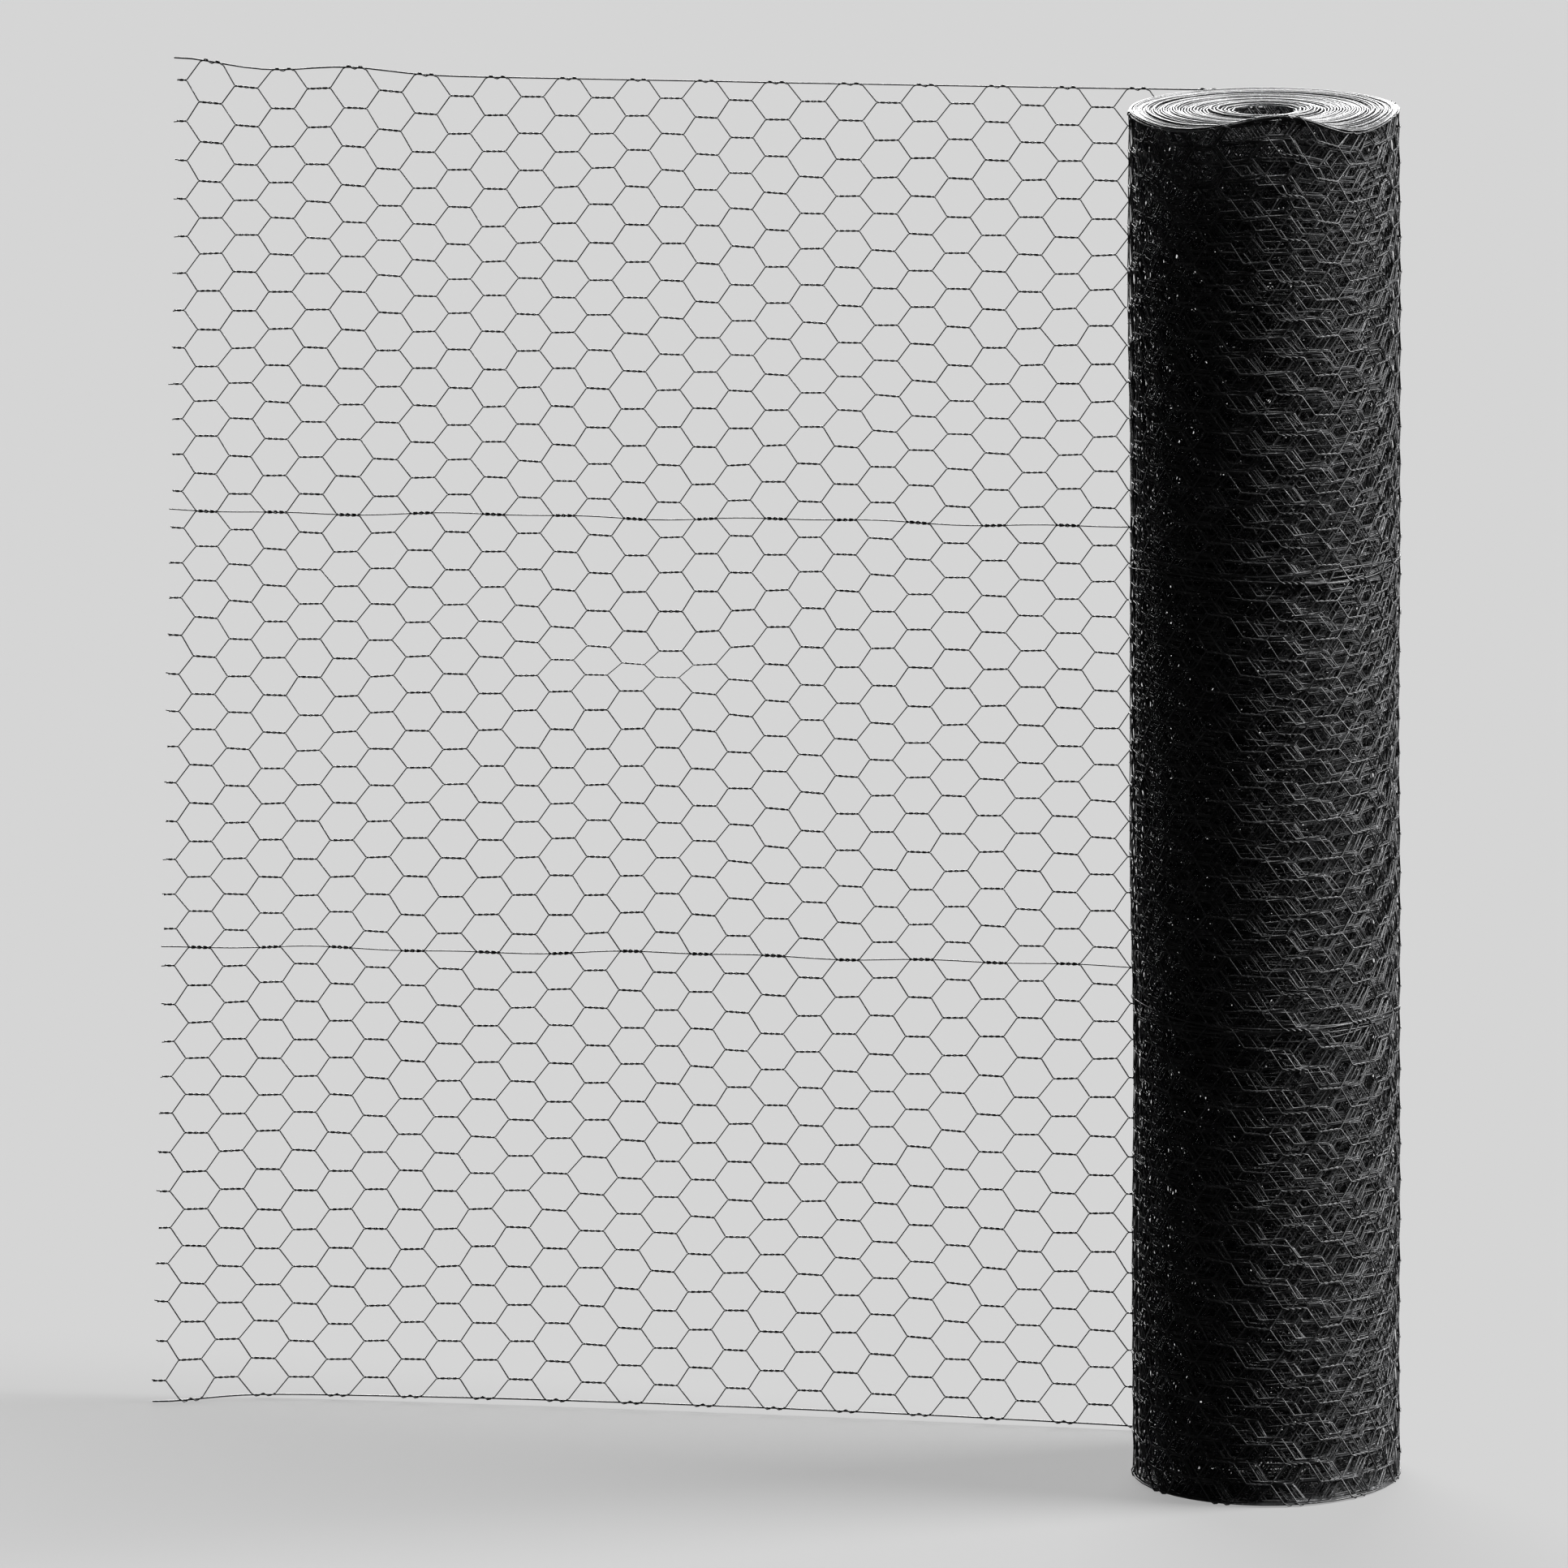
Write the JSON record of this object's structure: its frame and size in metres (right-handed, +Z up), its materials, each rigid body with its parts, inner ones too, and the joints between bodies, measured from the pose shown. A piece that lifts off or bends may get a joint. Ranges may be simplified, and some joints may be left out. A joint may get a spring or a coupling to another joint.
{
  "type": "roll of hexagonal wire netting",
  "caption": "Standing roll of hexagonal wire netting with an open bore, its loose end drawn out straight from the back of the roll.",
  "frame": {"origin": "on the axis of the roll's bore, on the floor it stands on", "axes": "+Z up along the roll's bore; the loose end leaves the back of the roll at +Y and runs along -X"},
  "size_m": [0.838, 0.1741, 0.9],
  "materials": {
    "wire": "dark coated steel wire, satin"
  },
  "bodies": {
    "root": {"roll": "wire", "netting_band_1": "wire", "netting_band_2": "wire", "netting_band_3": "wire"}
  },
  "joints": []
}
